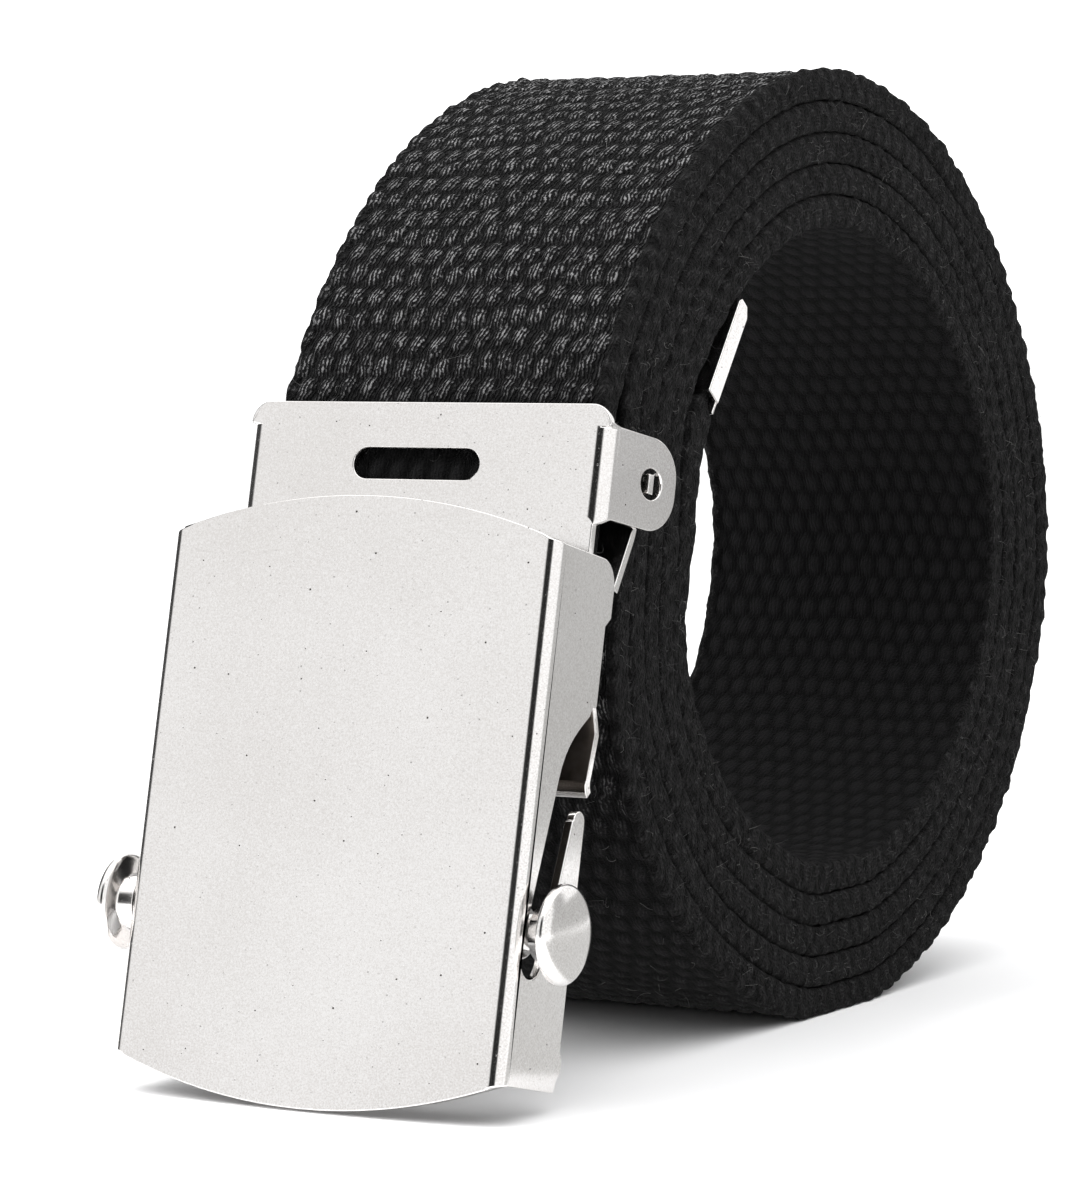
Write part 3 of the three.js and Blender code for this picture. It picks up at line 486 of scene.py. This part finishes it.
def shaded_steel():
    """The insides of the stamped parts, where the plating is thin and brown with age. Their
    darkness is painted shade, for the buckle's hollows.
    """
    dull = Finish("shaded_steel", Metallic=1.0, Roughness=0.42)
    place = dull.node("ShaderNodeTexCoord", out=3)
    stain = dull.grain(place, 260, 4.0, 0.6)
    dull.feed("Base Color", dull.blend(
        stain.between(0.3, 0.7), OLD_BROWN, (0.15, 0.13, 0.115, 1)))
    dull.feed("Roughness", 0.34 + stain * 0.2)
    return dull.material


NICKEL = bright_nickel("bright_nickel", 0.10)
SATIN_NICKEL = bright_nickel("satin_nickel", 0.15)
INSIDE_SHADE = shaded_steel()
# Takes a sheet to the buckle's own upright frame: X across, Y back (w), Z up (v)
TO_BUCKLE = Matrix.Rotation(BUCKLE_TILT, 4, "X") @ Matrix.Translation(
    (0, -BUCKLE_FOOT[0] * MM, -BUCKLE_FOOT[1] * MM))
# How near a vertex of a solid has to be to a named place, in millimetres
TOUCH, SAME = 0.01, 0.02
COVER_HALF, COVER_BEND, COVER_BEND_SHOWN = 19.0, 0.85, 1.25


def soften_bend(bm):
    """Widens the round of the two bends between the cover's face and its flanges."""
    grow = COVER_BEND_SHOWN / COVER_BEND
    for vert in bm.verts:
        side = 1 if vert.co.x > 0 else -1
        u, w = abs(vert.co.x) / MM, vert.co.y / MM
        out, down = u - (COVER_HALF - COVER_BEND), w - COVER_BEND
        if out > -TOUCH and down < TOUCH and abs(math.hypot(out, down) - COVER_BEND) < SAME:
            vert.co.x = side * (COVER_HALF - COVER_BEND_SHOWN + out * grow) * MM
            vert.co.y = (COVER_BEND_SHOWN + down * grow) * MM


TAIL_WIDE, TAIL_THICK, TAIL_LONG, TAIL_DEEP, TAIL_DOWN = 32.3, 0.32, 1.8, 0.17, 0.3


def set_cap(bm):
    """The cap is pressed thinner than its solid and stands steeper. Its inner sheet reaches
    a little further down the web than the outer one."""
    solid_heading = np.array([math.sin(CAP_SOLID_LEAN), math.cos(CAP_SOLID_LEAN)])
    solid_outwards = np.array([-solid_heading[1], solid_heading[0]])
    mouth = CAP_SOLID_MOUTH + CAP_SHIFT
    for vert in bm.verts:
        place = np.array([vert.co.y, vert.co.z]) / MM - CAP_SOLID_MOUTH
        up, out = place @ solid_heading, place @ solid_outwards
        out = -CAP_THICKNESS / 2 + (out + CAP_THICKNESS / 2) * CAP_THINNER
        vert.co.y, vert.co.z = (mouth + CAP_HEADING * up + CAP_OUTWARDS * out) * MM
    tail = bmesh.ops.create_cube(bm, size=1.0)["verts"]
    bmesh.ops.scale(bm, vec=(TAIL_WIDE * MM, TAIL_THICK * MM, TAIL_LONG * MM), verts=tail)
    bmesh.ops.rotate(bm, matrix=Matrix.Rotation(-CAP_LEAN, 3, "X"), verts=tail)
    seat = mouth - CAP_OUTWARDS * (CAP_THICKNESS / 2 - TAIL_DEEP) - CAP_HEADING * TAIL_DOWN
    bmesh.ops.translate(bm, vec=(0, seat[0] * MM, seat[1] * MM), verts=tail)


# The plate's ears, the nick below them and the fold between, in the buckle's own frame
EAR_TOP, EAR_FOOT, FOLD_TOP = 59.55, 51.55, 59.3
NOTCH_TOP, NOTCH_FOOT, NOTCH_EDGE, HIDDEN_BELOW, LIP_TOP = 50.9, 47.5, 17.15, 46.0, 30.2
PLATE_EDGE, PLATE_FRONT, PLATE_THICKNESS, CORNER_DEPTH = 17.9, 8.5, 0.9, 0.5
FOLD_ENDS_U, FOLD_ENDS_W, FOLD_RADIUS, FOLD_STEPS = 18.067, 10.0, 1.45, 8


def round_ear_folds(bm):
    """Rounds the folds where the two ears leave the plate, and nicks the plate below them."""
    for level in (FOLD_TOP, EAR_FOOT, NOTCH_TOP, NOTCH_FOOT, HIDDEN_BELOW):
        bmesh.ops.bisect_plane(bm, geom=bm.verts[:] + bm.edges[:] + bm.faces[:], dist=1e-7,
                               plane_co=(0, 0, level * MM), plane_no=(0, 0, 1))
    for vert in bm.verts:
        u, w, v = abs(vert.co.x) / MM, vert.co.y / MM, vert.co.z / MM
        if u < PLATE_EDGE - 0.05 or w > PLATE_FRONT + PLATE_THICKNESS:
            continue
        if EAR_FOOT - TOUCH < v < EAR_TOP + TOUCH and w > PLATE_FRONT + CORNER_DEPTH:
            vert.co.x, vert.co.y = math.copysign(FOLD_ENDS_U * MM, vert.co.x), FOLD_ENDS_W * MM
        elif NOTCH_FOOT - TOUCH < v < NOTCH_TOP + TOUCH:
            vert.co.x = math.copysign(NOTCH_EDGE * MM, vert.co.x)
    bmesh.ops.remove_doubles(bm, verts=bm.verts, dist=1e-6)
    folds = [e for e in bm.edges if all(
        abs(abs(v.co.x) - PLATE_EDGE * MM) < SAME * MM
        and abs(v.co.y - PLATE_FRONT * MM) < SAME * MM
        and (EAR_FOOT - TOUCH) * MM < v.co.z < (FOLD_TOP + TOUCH) * MM for v in e.verts)]
    bmesh.ops.bevel(bm, geom=folds, offset=FOLD_RADIUS * MM, segments=FOLD_STEPS, profile=0.5,
                    affect="EDGES", material=-1)


WING_FROM, WING_WIDE, WING_FLARE = 17.9, 1.5, 0.12
WING_SHOULDER, WING_CORNER, WING_TOP = 34.45, 33.25, 37.4


def sweep_wings(bm):
    """Draws the tops of the two wings up into a long curve."""
    for vert in bm.verts:
        u, v = abs(vert.co.x) / MM, vert.co.z / MM
        if u > WING_FROM - TOUCH and WING_CORNER - TOUCH < v < WING_SHOULDER + TOUCH:
            out = (u - WING_FROM) / WING_WIDE
            vert.co.x = math.copysign((u + WING_FLARE * out) * MM, vert.co.x)
            vert.co.z = (WING_TOP - (WING_TOP - WING_CORNER) * out * out) * MM


def is_inside(face, node):
    """Whether a face of the cover or the plate looks into the buckle."""
    middle = face.calc_center_median() / MM
    if node == "buckle_cover":
        behind_face = face.normal.y > 0.8 and middle.y < 2
        return behind_face or middle.x * face.normal.x < -0.8 * abs(middle.x)
    return node == "back_plate" and face.normal.y < -0.3 and LIP_TOP < middle.z < HIDDEN_BELOW


def stamped(node, name, edge):
    """A stamped piece: the solid's sheet with its cut edges rounded over."""
    bm = bmesh.new()
    bm.from_mesh(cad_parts[node].data)
    bmesh.ops.remove_doubles(bm, verts=bm.verts, dist=1e-6)
    bmesh.ops.dissolve_limit(bm, angle_limit=math.radians(1.0), verts=bm.verts, edges=bm.edges)
    if node == "tip_cap":
        set_cap(bm)
    bmesh.ops.transform(bm, matrix=TO_BUCKLE, verts=bm.verts)
    if node == "buckle_cover":
        soften_bend(bm)
    if node == "back_plate":
        round_ear_folds(bm)
        sweep_wings(bm)
    bm.normal_update()
    # Faces that look into the buckle take the inside steel, painted dark as their shade
    for face in bm.faces:
        face.smooth = True
        face.material_index = 1 if is_inside(face, node) else 0
    bmesh.ops.transform(bm, matrix=TO_BUCKLE.inverted(), verts=bm.verts)
    mesh = bpy.data.meshes.new(name)
    bm.to_mesh(mesh)
    bm.free()
    piece = bpy.data.objects.new(name, mesh)
    bpy.context.scene.collection.objects.link(piece)
    round_over = piece.modifiers.new("edges", "BEVEL")
    round_over.width = edge * MM
    round_over.segments = 2
    round_over.limit_method = "ANGLE"
    round_over.angle_limit = math.radians(32)
    round_over.use_clamp_overlap = False
    flats = piece.modifiers.new("flats", "WEIGHTED_NORMAL")
    flats.weight = 100
    flats.thresh = 0.01
    mesh.materials.append(NICKEL)
    mesh.materials.append(INSIDE_SHADE)
    return piece


# Node, piece, body and how far its cut edges are rounded
for node, name, body, edge in [
    ("tip_cap", "tip_cap_sheet", "belt", 0.10),
    ("buckle_cover", "cover_sheet", "belt", 0.12),
    ("back_plate", "plate_sheet", "belt", 0.12),
    ("clamp_flap", "flap_sheet", "clamp", 0.10),
]:
    sheet_piece = stamped(node, name, edge)
    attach(sheet_piece, body)
    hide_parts(node)


# The roller bar and its two domed heads: turned from steel rod, with the heads riveted on its
# necks outside the flanges. All three slide together in the slanted slots.
SEAT_Y, SEAT_Z = -65.210, 15.200


def turned(name, profile, steps=48):
    """A round piece spun from (distance along X, radius) rows."""
    bm = bmesh.new()
    verts = [bm.verts.new((x * MM, 0, radius * MM)) for x, radius in profile]
    edges = [bm.edges.new(pair) for pair in zip(verts, verts[1:])]
    bmesh.ops.spin(bm, geom=verts + edges, cent=(0, 0, 0), axis=(1, 0, 0),
                   angle=2 * math.pi, steps=steps, use_merge=True)
    bmesh.ops.remove_doubles(bm, verts=bm.verts, dist=1e-7)
    bmesh.ops.recalc_face_normals(bm, faces=bm.faces)
    bmesh.ops.translate(bm, verts=bm.verts, vec=(0, SEAT_Y * MM, SEAT_Z * MM))
    for face in bm.faces:
        face.smooth = True
    mesh = bpy.data.meshes.new(name)
    bm.to_mesh(mesh)
    bm.free()
    piece = bpy.data.objects.new(name, mesh)
    bpy.context.scene.collection.objects.link(piece)
    mesh.materials.append(SATIN_NICKEL)
    return piece


NECK, NECK_END, ROLLER, ROLLER_END, CHAMFER = 1.5, 21.4, 2.2, 17.9, 0.2
half_bar = [(NECK_END, 0), (NECK_END, NECK), (ROLLER_END, NECK), (ROLLER_END, ROLLER - CHAMFER),
            (ROLLER_END - CHAMFER, ROLLER)]
roller = turned("roller_bar_turned", [(-x, r) for x, r in half_bar] + half_bar[::-1])
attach(roller, "roller")
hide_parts("roller_bar")
BORE, BORE_END, COLLAR, COLLAR_FROM, COLLAR_TO = NECK + 0.3, 21.5, 2.3, 19.3, 20.7
HEAD_RADIUS, UNDER_X, RIM_X, DOME_RISE, DOME_STEPS = 4.15, 20.9, 21.45, 1.2, 16
for side, node in ((1, "button_right"), (-1, "button_left")):
    # From the bottom of the bore out over the collar and the underside to the domed face
    rows = [(BORE_END, 0), (BORE_END, BORE), (COLLAR_FROM, BORE), (COLLAR_FROM, COLLAR - 0.15),
            (COLLAR_FROM + 0.1, COLLAR), (COLLAR_TO, COLLAR), (UNDER_X, COLLAR + 0.2),
            (UNDER_X, HEAD_RADIUS - 0.45), (UNDER_X + 0.12, HEAD_RADIUS - 0.15),
            (UNDER_X + 0.3, HEAD_RADIUS)]
    for k in range(DOME_STEPS + 1):
        a = math.pi / 2 * k / DOME_STEPS
        rows.append((RIM_X + DOME_RISE * math.sin(a), max(HEAD_RADIUS * math.cos(a), 0)))
    head = turned("head_" + node.split("_")[1], [(side * x, r) for x, r in rows], 64)
    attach(head, "roller")
    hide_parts(node)


# Loose fibres: short broken ends of cotton that stand off the web's two edges and off the
# outer face of the roll, thin and curled. They are drawn as curves and kept as one mesh.
EDGE_HAIRS, FACE_HAIRS, HAIR_RADIUS, HAIR_JOINTS = 2700, 700, 0.017, 6
EDGE_ROOT, FACE_ROOT, NONE_BELOW = 1.1, 1.35, 2.5


def web_at(along):
    """A place on the web's middle line, the way the web runs there, and the way out of it."""
    k = int(np.searchsorted(REACH, along))
    ahead = LINE[min(k + 1, len(LINE) - 1)] - LINE[k - 1]
    ahead /= np.linalg.norm(ahead)
    return LINE[k], ahead, np.array([-ahead[1], ahead[0]])


def loose_fibres():
    fluff = bpy.data.curves.new("web_fluff", "CURVE")
    fluff.dimensions = "3D"
    fluff.bevel_depth = HAIR_RADIUS * MM
    fluff.bevel_resolution = 0
    fluff.use_fill_caps = True
    fluff.resolution_u = 1

    def hair(start, heading, length, curl):
        turn_axis = Vector([random.gauss(0, 1) for _ in range(3)]).normalized()
        spline = fluff.splines.new("POLY")
        spline.points.add(HAIR_JOINTS)
        here, way = Vector(start), Vector(heading).normalized()
        for k in range(HAIR_JOINTS + 1):
            spline.points[k].co = (*(here * MM), 1)
            spline.points[k].radius = 1.0 - 0.1 * k
            here = here + way * (length / HAIR_JOINTS)
            way.rotate(Matrix.Rotation(curl / HAIR_JOINTS, 3, turn_axis))

    for _ in range(EDGE_HAIRS):
        middle, _, out = web_at(random.uniform(4, WEB_LENGTH - 4))
        side = random.choice((1, -1))
        base = middle + out * random.uniform(-EDGE_ROOT, EDGE_ROOT)
        if base[1] < NONE_BELOW:
            continue
        start = (side * (WEB_HALF - 0.1), base[0], base[1])
        heading = (side * random.uniform(0.1, 0.9), random.gauss(0, 0.8), random.gauss(0, 0.8))
        hair(start, heading, random.uniform(0.4, 1.5), random.gauss(0, 3.6))
    for _ in range(FACE_HAIRS):
        middle, ahead, out = web_at(random.uniform(12, FIRST_CUT - 40))
        base = middle + out * FACE_ROOT
        if base[1] < NONE_BELOW:
            continue
        start = (random.uniform(-WEB_HALF, WEB_HALF), base[0], base[1])
        rise = random.uniform(0.0, 0.5)
        slide = random.gauss(0, 0.8)
        heading = (random.gauss(0, 0.8), *(out * rise + ahead * slide))
        hair(start, heading, random.uniform(0.5, 2.0), random.gauss(0, 2.6))
    return fluff


fluff_curve = bpy.data.objects.new("web_fluff_curve", loose_fibres())
bpy.context.scene.collection.objects.link(fluff_curve)
bpy.context.view_layer.update()
fluff_mesh = bpy.data.meshes.new_from_object(fluff_curve.evaluated_get(
    bpy.context.evaluated_depsgraph_get()))
bpy.data.objects.remove(fluff_curve)
bm = bmesh.new()
bm.from_mesh(fluff_mesh)
bmesh.ops.remove_doubles(bm, verts=bm.verts, dist=1e-8)
bmesh.ops.recalc_face_normals(bm, faces=bm.faces)
bm.to_mesh(fluff_mesh)
bm.free()
fluff = bpy.data.objects.new("web_fluff", fluff_mesh)
bpy.context.scene.collection.objects.link(fluff)
fluff_finish = Finish("cotton_fibre", Roughness=0.7, Sheen_Weight=0.3, Specular_IOR_Level=0.4)
fluff_place = fluff_finish.node("ShaderNodeTexCoord", out=3)
fluff_shade = fluff_finish.grain(fluff_place, 140, 1.0).between(0.4, 0.7)
fluff_finish.feed("Base Color", fluff_finish.blend(
    fluff_shade, (0.02, 0.02, 0.021, 1), (0.17, 0.165, 0.16, 1)))
fluff_mesh.materials.clear()
fluff_mesh.materials.append(fluff_finish.material)
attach(fluff, "belt")


# The studio: a white floor that runs back out of sight, soft lights from the upper left, the
# right and above, and a white room with dark strips, which the nickel mirrors. Two grey cards
# stand and lie right of the roll, where only the nickel sees them.
FLOOR_HALF, FLOOR_Z = 60.0, -0.0001
floor_mesh = bpy.data.meshes.new("floor")
bm = bmesh.new()
bmesh.ops.create_grid(bm, x_segments=1, y_segments=1, size=FLOOR_HALF)
bmesh.ops.translate(bm, verts=bm.verts, vec=(0, 0, FLOOR_Z))
bm.to_mesh(floor_mesh)
bm.free()
floor = bpy.data.objects.new("floor", floor_mesh)
bpy.context.scene.collection.objects.link(floor)
floor_finish = Finish("white_floor", Base_Color=(0.93, 0.93, 0.935, 1), Roughness=0.7,
                      Specular_IOR_Level=0.0)
floor_mesh.materials.append(floor_finish.material)

CARD_TURN = -29.2
for name, middle, lies, wide, high, grey in [
    ("grey_card", (0.098, 0.078, 0.0265), 90, 0.36, 0.05, 0.53),
    ("floor_card", (0.064, 0.006, 0.0003), 0, 0.20, 0.13, 0.66),
]:
    card_mesh = bpy.data.meshes.new(name)
    bm = bmesh.new()
    bmesh.ops.create_grid(bm, x_segments=1, y_segments=1, size=0.5, matrix=(
        Matrix.Translation(middle) @ Matrix.Rotation(math.radians(CARD_TURN), 4, "Z")
        @ Matrix.Rotation(math.radians(lies), 4, "X") @ Matrix.Diagonal((wide, high, 1, 1))))
    bm.to_mesh(card_mesh)
    bm.free()
    card = bpy.data.objects.new(name, card_mesh)
    bpy.context.scene.collection.objects.link(card)
    card_finish = Finish(name, Base_Color=(0, 0, 0, 1), Roughness=1.0, Specular_IOR_Level=0.0,
                         Emission_Color=(grey, grey, grey * 0.99, 1), Emission_Strength=1.0)
    card_mesh.materials.append(card_finish.material)
    card.visible_camera = card.visible_diffuse = card.visible_shadow = False

# The camera, fitted to the photograph: its bearing, distance, aim and focal length in pixels
CAMERA_AZ, CAMERA_EL, CAMERA_AWAY = math.radians(29.2118), math.radians(3.456), 435.315
CAMERA_AIM, FOCAL_PIXELS, PHOTO_HEIGHT = Vector((-21.82, 7.9, 37.29)), 4340.16, 1200
camera_back = Vector((math.sin(CAMERA_AZ) * math.cos(CAMERA_EL),
                      -math.cos(CAMERA_AZ) * math.cos(CAMERA_EL), math.sin(CAMERA_EL)))
lens = bpy.data.cameras.new("camera")
lens.sensor_fit = "VERTICAL"
lens.sensor_height = 36
lens.lens = 36 * FOCAL_PIXELS / PHOTO_HEIGHT
lens.clip_start, lens.clip_end = 0.01, 40
camera = bpy.data.objects.new("camera", lens)
camera.location = (CAMERA_AIM + camera_back * CAMERA_AWAY) * MM
camera.rotation_euler = camera_back.to_track_quat("Z", "Y").to_euler()
bpy.context.scene.collection.objects.link(camera)
bpy.context.scene.camera = camera


LIGHTS_AIM = Vector((0, -20, 40))


def softbox(name, azimuth, elevation, away, wide, high, power):
    """A rectangular light that looks at the belt from its bearing and height in degrees."""
    a, e = math.radians(azimuth), math.radians(elevation)
    back = Vector((math.sin(a) * math.cos(e), -math.cos(a) * math.cos(e), math.sin(e)))
    data = bpy.data.lights.new(name, "AREA")
    data.shape = "RECTANGLE"
    data.size, data.size_y = wide, high
    data.energy = power
    lamp = bpy.data.objects.new(name, data)
    lamp.location = LIGHTS_AIM * MM + back * away
    lamp.rotation_euler = back.to_track_quat("Z", "Y").to_euler()
    bpy.context.scene.collection.objects.link(lamp)
    return lamp


for lamp in [
    softbox("left_light", -48, 42, 1.1, 0.9, 0.8, 6.5),
    softbox("right_light", 66, 45, 1.2, 0.6, 0.9, 0.9),
    softbox("top_light", 10, 82, 1.0, 1.0, 1.0, 4.0),
]:
    lamp.visible_glossy = False

world = bpy.data.worlds.new("room")
bpy.context.scene.world = world
room = Finish("room", room=world)
look = room.node("ShaderNodeTexCoord")
east = room.node("ShaderNodeSeparateXYZ", None, [look], 0)
north = room.node("ShaderNodeSeparateXYZ", None, [look], 1)
height = room.node("ShaderNodeSeparateXYZ", None, [look], 2)
bearing = room.node("ShaderNodeMath", {"operation": "ARCTAN2"}, [east, north * -1.0])
# The room's walls all the way round: bearing and brightness
ROOM_WALLS = [(-180, 1.1), (-130, 1.05), (-122, 0.06), (-74, 0.06), (-62, 0.93),
              (-24, 0.95), (-14, 0.02), (24, 0.02), (32, 1.10), (104, 1.08),
              (112, 0.50), (134, 0.50), (142, 1.1), (180, 1.1)]
BRIGHTEST = 1.6
walls = room.node("ShaderNodeValToRGB", {"stops": [
    ((degrees + 180) / 360, (level / BRIGHTEST, level / BRIGHTEST, level / BRIGHTEST, 1))
    for degrees, level in ROOM_WALLS]}, [bearing / (2 * math.pi) + 0.5])
WHITE = (1, 1, 1, 1)
ceiling = height.between(0.60, 0.80)
seen = room.blend(ceiling, walls, WHITE)
soft = room.blend(height.between(0.05, 0.85), (0.20, 0.20, 0.20, 1), WHITE)
# Matt surfaces get an even light from above, and the background is white in every view
on_cloth = room.node("ShaderNodeLightPath", out=2)
in_view = room.node("ShaderNodeLightPath", out=0)
room.feed("Color", room.blend(in_view, room.blend(on_cloth, seen, soft), WHITE))
room.shader.inputs["Strength"].default_value = BRIGHTEST
bpy.context.scene.view_settings.view_transform = "Standard"
